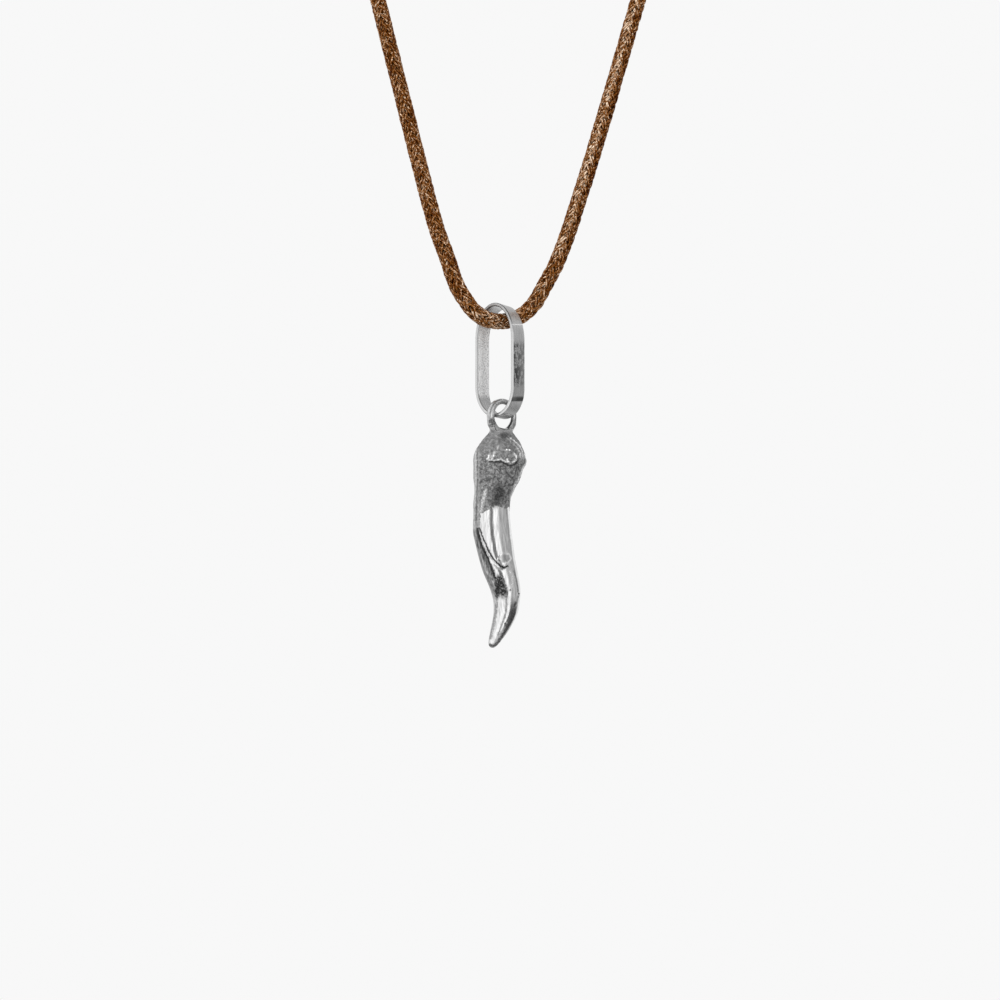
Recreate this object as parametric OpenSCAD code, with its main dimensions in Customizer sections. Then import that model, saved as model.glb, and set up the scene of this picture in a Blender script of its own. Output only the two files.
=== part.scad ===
// Horn-shaped charm on a tall strip bail, hung from a braided cord necklace.
// Millimetres, +Z up. The wearer's nape is the origin and the charm hangs in front, towards -Y.

/* [Cord] */
// Thickness of the round braided cord
cord_d = 1.5; // [1.2:0.05:1.7]

/* [Bail] */
// Height of the oblong link that hangs on the cord, measured outside
bail_h = 9.95; // [8:0.05:14]
// Width of the link, measured outside
bail_w = 4.05; // [3.8:0.05:5]
// Width of the flat strip that the link is bent from
strip_w = 1.85; // [1.5:0.05:2.1]
// Thickness of that strip
strip_t = 0.3; // [0.2:0.05:0.45]
// Turn of the link about the vertical, which brings its right limb forward
bail_turn = 34; // [30:1:38]
// Space between the top of the cord and the inside of the link's crown
crown_gap = 0.45; // [0.4:0.05:0.8]

/* [Horn] */
// Length from the middle of the ring's hole to the tip
horn_len = 20.3; // [16:0.1:26]
// Width of the horn at its shoulder
horn_w = 4.55; // [3.6:0.05:6]
// Depth of the horn at its shoulder, from front to back
horn_d = 3.9; // [3:0.05:5]
// Thickness of the wire of the ring cast on the horn
ring_wire = 0.5; // [0.4:0.05:0.7]
// Play on each side between the strip's edges and the ring's hole
ring_play = 0.09; // [0.07:0.01:0.2]
// Turn of the ring about the vertical, which takes its right side back
ring_turn = 41; // [36:1:46]
// Place of the ring along the link's foot, to the right of the foot's middle
ring_shift = 0.28; // [0:0.02:0.4]
// Depth of the step where the fold laps over the horn
fold_step = 0.2; // [0.05:0.01:0.3]

/* [Clasp] */
// Length of the barrel that joins the cord's ends
clasp_len = 15; // [13:0.5:20]
// Diameter of the barrel
clasp_d = 3.4; // [3:0.1:5]
// Depth of the blind socket in each end of the barrel
socket_depth = 4; // [3:0.25:5]
// Play round the cord in its socket
socket_play = 0.05; // [0.03:0.01:0.15]

/* [Hidden] */
$fn = 64;

// Middle line of the cord, from the clasp down its left side to the charm and back up the right side.
// The first and last points are the cord's ends, which the clasp's sockets set.
END_X = clasp_len / 2 - socket_depth + socket_play;
ROUTE = [
    [-END_X, 0, 0], [-9, 0, 0], [-15, -0.4, -0.2], [-25, -3.6, -1.2],
    [-38, -12, -4], [-48, -25, -9], [-53.6, -40, -16], [-54, -55, -26],
    [-50.6, -68, -39], [-45.6, -79, -56], [-39.5, -87.4, -77], [-32.2, -93.2, -100],
    [-16.5, -104.2, -160], [-8.2, -109.8, -193], [-5.6, -111.6, -203.1], [-4.4, -112.4, -206.6],
    [-3.6, -112.9, -208.9], [-2.8, -113.2, -210.3], [-2.1, -113.2, -211.2], [-1.2, -112.7, -211.8],
    [0, -112, -212],
    [1.2, -111.3, -211.8], [2.3, -110.8, -211.2], [3.1, -110.7, -210.4], [3.8, -110.7, -209.3],
    [5.2, -110.4, -206.6], [6.5, -110, -203.1], [9.6, -108.6, -193], [19, -103.4, -160],
    [35, -93.2, -100], [41, -87.4, -77], [46.4, -79, -56], [51, -68, -39],
    [54, -55, -26], [53.6, -40, -16], [48, -25, -9], [38, -12, -4],
    [25, -3.6, -1.2], [15, -0.4, -0.2], [9, 0, 0], [END_X, 0, 0]
];
HANG_ROW = 20;
hang_at = ROUTE[HANG_ROW];
CORD_SIDES = 8;

// Middle of the link, from the cord's lowest point
BAIL_X = 0.17;
crown_z = cord_d / 2 + crown_gap + strip_t;
foot_z = crown_z - bail_h + strip_t / 2;

// The ring hangs on the link's foot, which runs through the middle of its hole
skew = 90 - ring_turn - bail_turn;
hole_d = strip_w / cos(skew) + 2 * ring_play;
ring_r = (hole_d + ring_wire) / 2;
ring_at = [
    BAIL_X + ring_shift * cos(bail_turn),
    -ring_shift * sin(bail_turn),
    foot_z
];

// Sections of the horn, from the neck to the tip.
// DOWN is a share of horn_len, CX and CY the section's middle, HALF its half width, all shares of
// horn_w, and ROUND its depth as a share of its width times horn_d over horn_w.
DOWN = 0; CX = 1; CY = 2; HALF = 3; ROUND = 4;
HORN = [
    [0.040, -0.03, 0.00, 0.21, 0.62],
    [0.070, -0.03, 0.00, 0.24, 0.75],
    [0.090, -0.04, 0.00, 0.30, 0.85],
    [0.110, -0.04, 0.01, 0.37, 0.92],
    [0.140, -0.06, 0.02, 0.44, 0.98],
    [0.165, -0.06, 0.03, 0.485, 1.00],
    [0.200, -0.06, 0.04, 0.50, 1.00],
    [0.225, -0.08, 0.05, 0.48, 1.00],
    [0.265, -0.11, 0.06, 0.45, 1.00],
    [0.300, -0.14, 0.08, 0.40, 1.02],
    [0.335, -0.18, 0.09, 0.365, 1.04],
    [0.370, -0.21, 0.10, 0.35, 1.06],
    [0.420, -0.215, 0.11, 0.35, 1.07],
    [0.500, -0.205, 0.10, 0.375, 1.07],
    [0.540, -0.175, 0.09, 0.37, 1.07],
    [0.610, -0.115, 0.07, 0.35, 1.08],
    [0.675, -0.04, 0.04, 0.33, 1.09],
    [0.745, 0.05, 0.03, 0.29, 1.10],
    [0.795, 0.075, 0.04, 0.255, 1.12],
    [0.850, 0.055, 0.07, 0.23, 1.14],
    [0.920, -0.05, 0.12, 0.18, 1.16],
    [0.970, -0.15, 0.16, 0.12, 1.18],
    [0.990, -0.185, 0.17, 0.08, 1.18],
    [1.000, -0.195, 0.18, 0.03, 1.18]
];
HORN_SIDES = 32;
HORN_STEPS = 52;

// Where the fold's lip runs: DOWN as above, TURN its angle from the front, leftward negative, and
// STEP the share of fold_step that it has there.
TURN = 1; STEP = 2;
FOLD = [
    [0.000, -120, 0.00],
    [0.380, -85, 0.00],
    [0.430, -67, 0.35],
    [0.480, -45, 0.80],
    [0.560, -34, 1.00],
    [0.607, -22, 1.00],
    [0.640, -3, 0.90],
    [0.665, 15, 0.50],
    [0.700, 32, 0.00],
    [1.000, 90, 0.00]
];
FOLD_FADE = 38; // degrees behind the lip in which the step runs out

// A value of a table's column at u, on a smooth line through its rows
function row_at(rows, u, i = 0) = i >= len(rows) - 2 || u < rows[i + 1][0] ? i : row_at(rows, u, i + 1);
function slope(rows, column, i) =
    let (a = max(i - 1, 0), b = min(i + 1, len(rows) - 1))
    (rows[b][column] - rows[a][column]) / (rows[b][0] - rows[a][0]);
function value_at(rows, column, u) =
    let (i = row_at(rows, u), gap = rows[i + 1][0] - rows[i][0], t = (u - rows[i][0]) / gap)
    (2 * t ^ 3 - 3 * t ^ 2 + 1) * rows[i][column]
    + (t ^ 3 - 2 * t ^ 2 + t) * gap * slope(rows, column, i)
    + (3 * t ^ 2 - 2 * t ^ 3) * rows[i + 1][column]
    + (t ^ 3 - t ^ 2) * gap * slope(rows, column, i + 1);

// How far the step lowers the surface at an angle past the lip: most just behind it, nothing ahead
function step_at(past) = past >= 0 ? 0 : exp(past / FOLD_FADE);

// One section of the horn, its first point on the fold's lip
function horn_section(u) =
    let (
        half = value_at(HORN, HALF, u) * horn_w,
        deep = half * value_at(HORN, ROUND, u) * horn_d / horn_w,
        lip = value_at(FOLD, TURN, u),
        step = max(0, value_at(FOLD, STEP, u)) * fold_step,
        mid_x = value_at(HORN, CX, u) * horn_w,
        mid_y = value_at(HORN, CY, u) * horn_w
    )
    [for (k = [0:HORN_SIDES - 1])
        let (past = -k * 360 / HORN_SIDES, a = lip + past, low = step * step_at(past - 1))
        [mid_x + (half - low) * sin(a), mid_y - (deep - low) * cos(a), -u * horn_len]];

// A closed skin over sections that all have as many points
function flat(lists) = [for (list = lists) for (item = list) item];
function skin_faces(rings, sides) = concat(
    [[for (k = [0:sides - 1]) k]],
    [for (i = [0:rings - 2]) for (k = [0:sides - 1])
        let (next = (k + 1) % sides)
        [i * sides + k, (i + 1) * sides + k, (i + 1) * sides + next, i * sides + next]],
    [[for (k = [sides - 1:-1:0]) (rings - 1) * sides + k]]
);
module skin(sections) {
    sides = len(sections[0]);
    polyhedron(flat(sections), skin_faces(len(sections), sides), convexity = 8);
}

// The cord's route with the distance run so far in front of each point
X = 1; Y = 2; Z = 3;
function track(points, i = 0, gone = 0) = i == len(points) ? [] :
    let (now = gone + (i == 0 ? 0 : norm(points[i] - points[i - 1])))
    concat([[now, points[i][0], points[i][1], points[i][2]]], track(points, i + 1, now));
TRACK = track(ROUTE);
RINGS_A_GAP = 2;
PLACES = [for (i = [0:len(TRACK) - 2]) for (k = [0:RINGS_A_GAP - 1])
    TRACK[i][0] + (TRACK[i + 1][0] - TRACK[i][0]) * k / RINGS_A_GAP];
LINE = concat(
    [for (u = PLACES) [value_at(TRACK, X, u), value_at(TRACK, Y, u), value_at(TRACK, Z, u)]],
    [ROUTE[len(ROUTE) - 1]]
);
HEADING = [for (i = [0:len(LINE) - 1])
    let (d = LINE[min(i + 1, len(LINE) - 1)] - LINE[max(i - 1, 0)]) d / norm(d)];

// Sides of the tube, carried along the line without spin
function square_to(side, heading) = let (s = side - (side * heading) * heading) s / norm(s);
function carried(i = 0, side = [0, 0, 1]) = i == len(LINE) ? [] :
    let (s = square_to(side, HEADING[i])) concat([s], carried(i + 1, s));
SIDE = carried();

module cord() {
    color("sienna")
    skin([for (i = [0:len(LINE) - 1])
        let (other = cross(HEADING[i], SIDE[i]))
        [for (k = [0:CORD_SIDES - 1])
            let (a = 360 * k / CORD_SIDES)
            LINE[i] + cord_d / 2 * (cos(a) * SIDE[i] + sin(a) * other)]]);
}

// The barrel: rounded rims, a shallow waist where its halves meet, a blind socket at each end
RIM = 0.4;
WAIST_W = 0.6;
WAIST_CUT = 0.15;
module clasp() {
    color("silver")
    rotate([0, 90, 0])
    difference() {
        rotate_extrude()
        difference() {
            union() {
                translate([0, RIM - clasp_len / 2]) square([clasp_d / 2, clasp_len - 2 * RIM]);
                translate([0, -clasp_len / 2]) square([clasp_d / 2 - RIM, clasp_len]);
                for (end = [-1, 1])
                    translate([clasp_d / 2 - RIM, end * (clasp_len / 2 - RIM)]) circle(RIM);
            }
            translate([clasp_d / 2 - WAIST_CUT, -WAIST_W / 2]) square([clasp_d, WAIST_W]);
            translate([-clasp_d, -clasp_len]) square([clasp_d, 2 * clasp_len]);
        }
        for (turn = [0, 180])
            rotate([turn, 0, 0])
            translate([0, 0, clasp_len / 2 - socket_depth])
            cylinder(d = cord_d + 2 * socket_play, h = 2 * socket_depth);
    }
}

// An oblong of the link's outline, shrunk by inset on every side
module oblong(inset) {
    width = bail_w - 2 * inset;
    straight = bail_h - bail_w;
    union() {
        square([width, straight], center = true);
        for (end = [-1, 1]) translate([0, end * straight / 2]) circle(d = width);
    }
}

module bail() {
    color("silver")
    translate(hang_at + [BAIL_X, 0, crown_z - bail_h / 2])
    rotate([0, 0, -bail_turn])
    rotate([90, 0, 0])
    linear_extrude(strip_w, center = true)
    difference() {
        oblong(0);
        oblong(strip_t);
    }
}

// The ring lies round its own axis, which points to the viewer's right at skew to the link's foot
module on_ring_axis() {
    rotate([0, 0, ring_turn]) rotate([90, 0, 0]) children();
}
NECK_FLARE = 0.8; // how fast the hole widens through the neck
module horn() {
    color("darkgray")
    translate(hang_at + ring_at) {
        difference() {
            skin([for (i = [0:HORN_STEPS])
                let (first = HORN[0][DOWN], share = i / HORN_STEPS)
                horn_section(first + (1 - first) * share)]);
            on_ring_axis()
            for (end = [0, 180])
                rotate([end, 0, 0])
                cylinder(r1 = hole_d / 2, r2 = hole_d / 2 + NECK_FLARE * horn_d, h = horn_d);
        }
        on_ring_axis()
        rotate_extrude()
        translate([ring_r, 0]) circle(d = ring_wire);
    }
}

cord();
clasp();
bail();
horn();
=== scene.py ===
"""Looks of a horn charm on a tall strip bail, hung from a braided cord with a plain barrel clasp.

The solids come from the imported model. Sizes here are in millimetres until a mesh is written, in metres.
Places taken from the photograph are its pixels, in an image of 1000 by 1000.
"""
import math
from itertools import product

import bpy
import numpy as np
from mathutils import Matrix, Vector, noise


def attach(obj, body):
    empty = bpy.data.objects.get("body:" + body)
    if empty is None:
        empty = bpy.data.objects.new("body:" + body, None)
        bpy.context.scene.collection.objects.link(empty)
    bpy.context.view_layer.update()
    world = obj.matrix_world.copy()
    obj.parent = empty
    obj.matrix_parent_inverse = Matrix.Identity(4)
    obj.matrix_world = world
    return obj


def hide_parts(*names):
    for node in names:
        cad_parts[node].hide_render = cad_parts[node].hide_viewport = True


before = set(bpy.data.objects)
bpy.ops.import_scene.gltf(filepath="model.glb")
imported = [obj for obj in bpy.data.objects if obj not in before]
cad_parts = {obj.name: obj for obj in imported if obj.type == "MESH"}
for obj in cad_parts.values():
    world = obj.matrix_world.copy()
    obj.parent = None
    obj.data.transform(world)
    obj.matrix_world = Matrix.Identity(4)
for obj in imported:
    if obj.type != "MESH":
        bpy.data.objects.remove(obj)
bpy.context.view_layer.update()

MM = 0.001  # in metres
IMAGE_SIZE = 1000
rng = np.random.default_rng(7)


# The camera, as the photograph's, in mm
CAMERA_AT = np.array([0.175, -272.0, -227.62])
FOCAL_PIXELS = 1828.8
MIDDLE_PIXEL = IMAGE_SIZE / 2


def new_object(name, data):
    """A new object in the scene."""
    made = bpy.data.objects.new(name, data)
    bpy.context.scene.collection.objects.link(made)
    return made


def make_camera():
    """A camera at the photograph's place, level and looking along +Y."""
    data = bpy.data.cameras.new("camera")
    data.sensor_width = 36
    data.lens = FOCAL_PIXELS * data.sensor_width / IMAGE_SIZE
    data.clip_start = 0.001
    camera = new_object("camera", data)
    camera.location = Vector(CAMERA_AT * MM)
    camera.rotation_euler = (math.radians(90), 0, 0)
    bpy.context.scene.camera = camera


def pixels_of(points):
    """Where points in mm stand in the photograph."""
    away = points[:, 1] - CAMERA_AT[1]
    across = MIDDLE_PIXEL + FOCAL_PIXELS * (points[:, 0] - CAMERA_AT[0]) / away
    down = MIDDLE_PIXEL - FOCAL_PIXELS * (points[:, 2] - CAMERA_AT[2]) / away
    return np.stack([across, down], 1)


# Tables, lines and meshes

def table_at(rows, places):
    """A table's other columns at places along its first, smooth between its rows."""
    rows = np.asarray(rows, float)
    along = rows[:, 0]
    last = len(rows) - 1
    after = np.minimum(np.arange(len(rows)) + 1, last)
    before = np.maximum(np.arange(len(rows)) - 1, 0)
    slope = (rows[after, 1:] - rows[before, 1:]) / (along[after] - along[before])[:, None]
    i = np.clip(np.searchsorted(along, places, side="right") - 1, 0, last - 1)
    gap = (along[i + 1] - along[i])[:, None]
    t = (places - along[i])[:, None] / gap
    return (
        (2 * t**3 - 3 * t**2 + 1) * rows[i, 1:]
        + (t**3 - 2 * t**2 + t) * gap * slope[i]
        + (3 * t**2 - 2 * t**3) * rows[i + 1, 1:]
        + (t**3 - t**2) * gap * slope[i + 1]
    )


def ease(low, high, value):
    """0 up to low, 1 from high, and smooth between."""
    t = np.clip((value - low) / (high - low), 0, 1)
    return t * t * (3 - 2 * t)


def between(rise_low, rise_high, fall_low, fall_high, value):
    """1 inside a range and 0 outside it, with a smooth border at each end."""
    return ease(rise_low, rise_high, value) * (1 - ease(fall_low, fall_high, value))


def bell(value, half=1.0):
    """1 where value is 0, less on both sides, about a third at half."""
    return np.exp(-((value / half) ** 2))


def unit(vectors):
    """Vectors, one a row, brought to length 1."""
    return vectors / np.linalg.norm(vectors, axis=1)[:, None]


def lengths_along(line):
    """How far along a line of points each of them lies."""
    return np.concatenate([[0], np.cumsum(np.linalg.norm(np.diff(line, axis=0), axis=1))])


def noise_at(points, size, seed, octaves=3):
    """Smooth noise from about -1 to 1 at points in mm, with lumps of that size."""
    shift = Vector((seed * 17.3, seed * 5.1, seed * 9.7))
    return np.array([noise.fractal(Vector(p) / size + shift, 1.0, 2.0, octaves) for p in points])


def turns_of(sides):
    """Angles evenly round a circle, from 0."""
    return np.arange(sides) * 2 * math.pi / sides


def grid_faces(rings, sides, closed_loop=False):
    """Quads of a skin over closed rings of points, with a face over each open end."""
    here = np.arange(rings * sides).reshape(rings, sides)
    ahead = np.roll(here, -1, axis=0)
    quads = np.stack([here, ahead, np.roll(ahead, -1, axis=1), np.roll(here, -1, axis=1)], 2)
    if closed_loop:
        return quads.reshape(-1, 4).tolist()
    return quads[:-1].reshape(-1, 4).tolist() + [here[0].tolist(), here[-1, ::-1].tolist()]


def joined(skins):
    """Several skins as one: all their points and all their faces."""
    points, faces, count = [], [], 0
    for skin_points, skin_faces in skins:
        points.append(skin_points)
        faces += [tuple(v + count for v in face) for face in skin_faces]
        count += len(skin_points)
    return np.concatenate(points), faces


def make_mesh(name, points, faces, **values):
    """A smooth mesh from points in mm, with each of the values, one number or vector a point."""
    mesh = bpy.data.meshes.new(name)
    mesh.from_pydata((np.asarray(points) * MM).tolist(), [], faces)
    mesh.update()
    mesh.shade_smooth()
    for key, column in values.items():
        kind, field = ("FLOAT", "value") if column.ndim == 1 else ("FLOAT_VECTOR", "vector")
        mesh.attributes.new(key, kind, "POINT").data.foreach_set(field, column.astype(np.float32).ravel())
    return mesh


def make_piece(name, mesh, material, body, node):
    """A piece of the object that rides on a body and stands for a node."""
    piece = new_object(name, mesh)
    mesh.materials.append(material)
    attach(piece, body)
    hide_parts(node)


# Materials

MIX_INPUTS = (0, 6, 7)  # share, low and high of a mix of colours
MIX_OUTPUT = 2


def new_material(name):
    """A new material with nodes, its tree and its main shader."""
    material = bpy.data.materials.new(name)
    material.use_nodes = True
    tree = material.node_tree
    return material, tree, tree.nodes["Principled BSDF"]


def feed(tree, socket, value):
    """Joins an input to an output, or sets it to a number, a vector or a colour."""
    if isinstance(value, bpy.types.NodeSocket):
        tree.links.new(value, socket)
    elif socket.type == "RGBA":
        colour = (value,) * 3 if isinstance(value, (int, float)) else value
        socket.default_value = (*colour, 1)
    else:
        socket.default_value = value


def feed_all(tree, node, inputs):
    """Feeds a node's inputs by their names."""
    for name, value in inputs.items():
        feed(tree, node.inputs[name], value)


def add(tree, kind, **inputs):
    """A new shader node of that kind, with its inputs fed by name."""
    made = tree.nodes.new("ShaderNode" + kind)
    feed_all(tree, made, inputs)
    return made


def ramp(tree, value, stops, interpolation="LINEAR"):
    """A colour ramp over value, with stops of a place and a colour or grey."""
    made = add(tree, "ValToRGB", Fac=value)
    made.color_ramp.interpolation = interpolation
    elements = made.color_ramp.elements
    while len(elements) < len(stops):
        elements.new(0.5)
    for element, (place, colour) in zip(elements, stops):
        element.position = place
        colour = (colour,) * 3 if isinstance(colour, (int, float)) else colour
        element.color = (*colour, 1)
    return made.outputs["Color"]


def mix(tree, share, low, high, blend="MIX"):
    """A mix of two colours by a share, each of them a socket or a value."""
    made = add(tree, "Mix")
    made.data_type = "RGBA"
    made.blend_type = blend
    for place, value in zip(MIX_INPUTS, (share, low, high)):
        feed(tree, made.inputs[place], value)
    return made.outputs[MIX_OUTPUT]


def maths(tree, operation, a, b, clamp=False):
    """One step of arithmetic on sockets or numbers."""
    made = add(tree, "Math")
    made.operation = operation
    made.use_clamp = clamp
    for socket, value in zip(made.inputs, (a, b)):
        feed(tree, socket, value)
    return made.outputs[0]


def attribute(tree, name, output="Fac"):
    """A value that the mesh carries at its points."""
    made = add(tree, "Attribute")
    made.attribute_name = name
    return made.outputs[output]


def bump(tree, height, depth, strength):
    """The normals of a fine relief as deep as that in mm."""
    made = add(tree, "Bump", Height=height, Distance=depth * MM, Strength=strength)
    return made.outputs["Normal"]


def grain(tree, size, detail=3.0, stretch=(1, 1, 1), roughness=0.5, place=None):
    """Noise from 0 to 1 in the object's space or another, with lumps of that size in mm."""
    place = place or add(tree, "TexCoord").outputs["Object"]
    scaled = add(tree, "Mapping", Vector=place, Scale=stretch).outputs["Vector"]
    made = add(
        tree, "TexNoise", Vector=scaled, Scale=1 / (size * MM), Detail=detail, Roughness=roughness
    )
    return made.outputs["Fac"]


# The cord: its route in metres, as in the part's source, and its braid in mm

CORD_D = 1.5
CLASP_END_X = 0.00355
HANG_AT = np.array([0, -112, -212])
# The left side of the loop from the clasp over the collar, which its right side mirrors
COLLAR = [
    (-CLASP_END_X, 0, 0), (-0.009, 0, 0), (-0.015, -0.0004, -0.0002), (-0.025, -0.0036, -0.0012),
    (-0.038, -0.012, -0.004), (-0.048, -0.025, -0.009), (-0.0536, -0.04, -0.016), (-0.054, -0.055, -0.026),
]
ROUTE = [
    *COLLAR, (-0.0506, -0.068, -0.039), (-0.0456, -0.079, -0.056), (-0.0395, -0.0874, -0.077),
    (-0.0322, -0.0932, -0.1), (-0.0165, -0.1042, -0.16), (-0.0082, -0.1098, -0.193),
    (-0.0056, -0.1116, -0.2031), (-0.0044, -0.1124, -0.2066), (-0.0036, -0.1129, -0.2089),
    (-0.0028, -0.1132, -0.2103), (-0.0021, -0.1132, -0.2112), (-0.0012, -0.1127, -0.2118),
    (0, -0.112, -0.212), (0.0012, -0.1113, -0.2118), (0.0023, -0.1108, -0.2112), (0.0031, -0.1107, -0.2104),
    (0.0038, -0.1107, -0.2093), (0.0052, -0.1104, -0.2066), (0.0065, -0.11, -0.2031),
    (0.0096, -0.1086, -0.193), (0.019, -0.1034, -0.16), (0.035, -0.0932, -0.1), (0.041, -0.0874, -0.077),
    (0.0464, -0.079, -0.056), (0.051, -0.068, -0.039), *[(-x, y, z) for x, y, z in COLLAR[::-1]],
]
HANG_ROW = 20  # the route's row where the bail hangs
LINE_STEP = 0.05  # between the points of the cord's middle line

PITCH = 7.2  # length of cord for one turn of a strand
STRANDS_A_WAY = 8
BRAID_R = 0.55  # middle of the braid's thickness
WEAVE_R = 0.075  # how far a strand goes out and in from there
WEAVE_HOLD = 1.3  # above 1, a strand stays out and in for a while
YARN_W = 0.108  # half width and half thickness of a yarn
YARN_T = 0.1
YARN_LEAN = math.cos(math.atan(2 * math.pi * BRAID_R / PITCH))  # cosine of a strand's slope
CORE_R = 0.5  # the core in the braid, painted black as the shade between the yarns
CORE_SIDES = 12
CORE_STEPS = 4  # steps of the braid to one step of its core
FRONT_HALF = 38.0  # length of cord on each side of the charm with two yarns in a strand
# A strand's yarns: where they lie across it, half width, step along and sides round them
TWO_YARNS = ((-YARN_W, YARN_W), YARN_W, 0.16, 6)
ONE_YARN = ((0,), 1.75 * YARN_W, 0.3, 5)

# Each unevenness: how much, over what length, and a step of its seed
STRAY = (0.2, 1.7, 0)  # a strand's turn round the cord, in radians
UNEVEN_WEAVE = (0.4, 0.8, 7)  # how far a strand goes out and in, as a share
SWELL = (0.2, 0.7, 0)  # a yarn's width and thickness, as a share
WAVER = (0.02, 0.5, 3)  # how far out a yarn lies
UNEVEN_TONE = (0.25, 3.0, 9)  # how pale a yarn is
# Seeds of the noise, by the way that a strand turns
STRAND_SEEDS = {-1: 90, 1: 50}
YARN_SEEDS = {-1: 300, 1: 200}

# How pale the yarns are, with painted light and shade
YARN_TONES = (0.25, 0.75)  # the darkest and the palest yarn
PAINTED_LIGHT_AT_BAIL = 0.4  # painted light, added where the bail hangs on them
PAINTED_LIGHT_AT_BAIL_HALF = 3.0  # half length of that stretch
PAINTED_SIDE_LIGHT = 0.62  # painted light, added in a stripe along the cord to the right of the charm, on yarns facing a little to the left
PAINTED_SIDE_LIGHT_WAY = -0.2  # how far it faces the right, from -1 to 1
PAINTED_SIDE_LIGHT_HALF = 0.5  # its half width, in the same measure
PAINTED_SIDE_SHADE = 0.2  # painted shade, taken off beside the stripe on yarns that face the right
PAINTED_SIDE_SHADE_WAY = (0, 0.6)
PAINTED_SIDE_FROM = (4, 12)  # past the charm, where both set in


def cord_line():
    """Distances, points, headings and sides close together along the cord."""
    route = np.array(ROUTE) / MM
    gone = lengths_along(route)
    places = np.arange(0, gone[-1], LINE_STEP)
    points = table_at(np.column_stack([gone, route]), places)
    headings = unit(np.gradient(points, axis=0))
    sides = np.empty_like(points)
    side = np.array([0.0, 0.0, 1.0])
    for i, heading in enumerate(headings):
        side = side - side.dot(heading) * heading
        side /= np.linalg.norm(side)
        sides[i] = side
    return {"gone": places, "at": points, "heading": headings, "side": sides, "hang": gone[HANG_ROW]}


def along_cord(line, places):
    """Points and the two sides across the cord at places along it."""
    spot = np.clip(places / LINE_STEP, 0, len(line["gone"]) - 1.001)
    i = spot.astype(int)
    t = (spot - i)[:, None]
    point, heading, side = (line[k][i] * (1 - t) + line[k][i + 1] * t for k in ("at", "heading", "side"))
    return point, side, np.cross(heading, side)


def uneven(places, kind, seed):
    """Smooth noise at places along the cord, for one kind of unevenness."""
    amount, length, step = kind
    return amount * np.array([noise.noise(Vector((s / length, (seed + step) * 3.7, 0.5))) for s in places])


def strand_path(line, places, way, index, offset):
    """The middle of a yarn, the way out from the cord, and how far out it lies, from 0 to 1."""
    crossings = 2 * STRANDS_A_WAY * places / PITCH
    met = 2 * index + way * crossings
    over = np.clip(WEAVE_HOLD * way * np.cos(math.pi / 2 * met - math.pi / 4), -1, 1)
    seed = index + STRAND_SEEDS[way]
    angle = (
        way * 2 * math.pi * places / PITCH
        + 2 * math.pi * index / STRANDS_A_WAY
        + offset / YARN_LEAN / BRAID_R
        + uneven(places, STRAY, seed)
    )
    reach = BRAID_R + WEAVE_R * over * (1 + uneven(places, UNEVEN_WEAVE, seed))
    point, side, other = along_cord(line, places)
    out = side * np.cos(angle)[:, None] + other * np.sin(angle)[:, None]
    return point + out * reach[:, None], out, (over + 1) / 2


def yarn_tube(middle, out, wide, thick, turns):
    """Points of a flattened tube round a yarn's middle line."""
    across = unit(np.cross(unit(np.gradient(middle, axis=0)), out))
    rings = [
        middle + across * (wide * math.cos(turn))[:, None] + out * (thick * math.sin(turn))[:, None]
        for turn in turns
    ]
    return np.stack(rings, 1).reshape(-1, 3)


def yarn_tone(line, places, out, seed):
    """How pale one yarn is along its length, with painted light where the bail hangs and painted light and
    shade past the charm by the way it faces.
    """
    past = places - line["hang"]
    facing = out[:, 0]
    tone = rng.uniform(*YARN_TONES) + uneven(places, UNEVEN_TONE, seed) + PAINTED_LIGHT_AT_BAIL * bell(past, PAINTED_LIGHT_AT_BAIL_HALF)
    # Painted light on yarns facing a little to the left, painted shade on those facing the right.
    painted_side_light_and_shade = PAINTED_SIDE_LIGHT * bell(facing - PAINTED_SIDE_LIGHT_WAY, PAINTED_SIDE_LIGHT_HALF) - PAINTED_SIDE_SHADE * ease(*PAINTED_SIDE_SHADE_WAY, facing)
    return tone + painted_side_light_and_shade * ease(*PAINTED_SIDE_FROM, past)


def core_skin(line, places):
    """The core inside the braid, painted black as shade."""
    point, side, other = along_cord(line, places)
    turns = -turns_of(CORE_SIDES)
    points = (
        point[:, None] + CORE_R * np.cos(turns)[None, :, None] * side[:, None]
        + CORE_R * np.sin(turns)[None, :, None] * other[:, None]
    )
    return points.reshape(-1, 3), grid_faces(len(places), CORE_SIDES)


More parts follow.
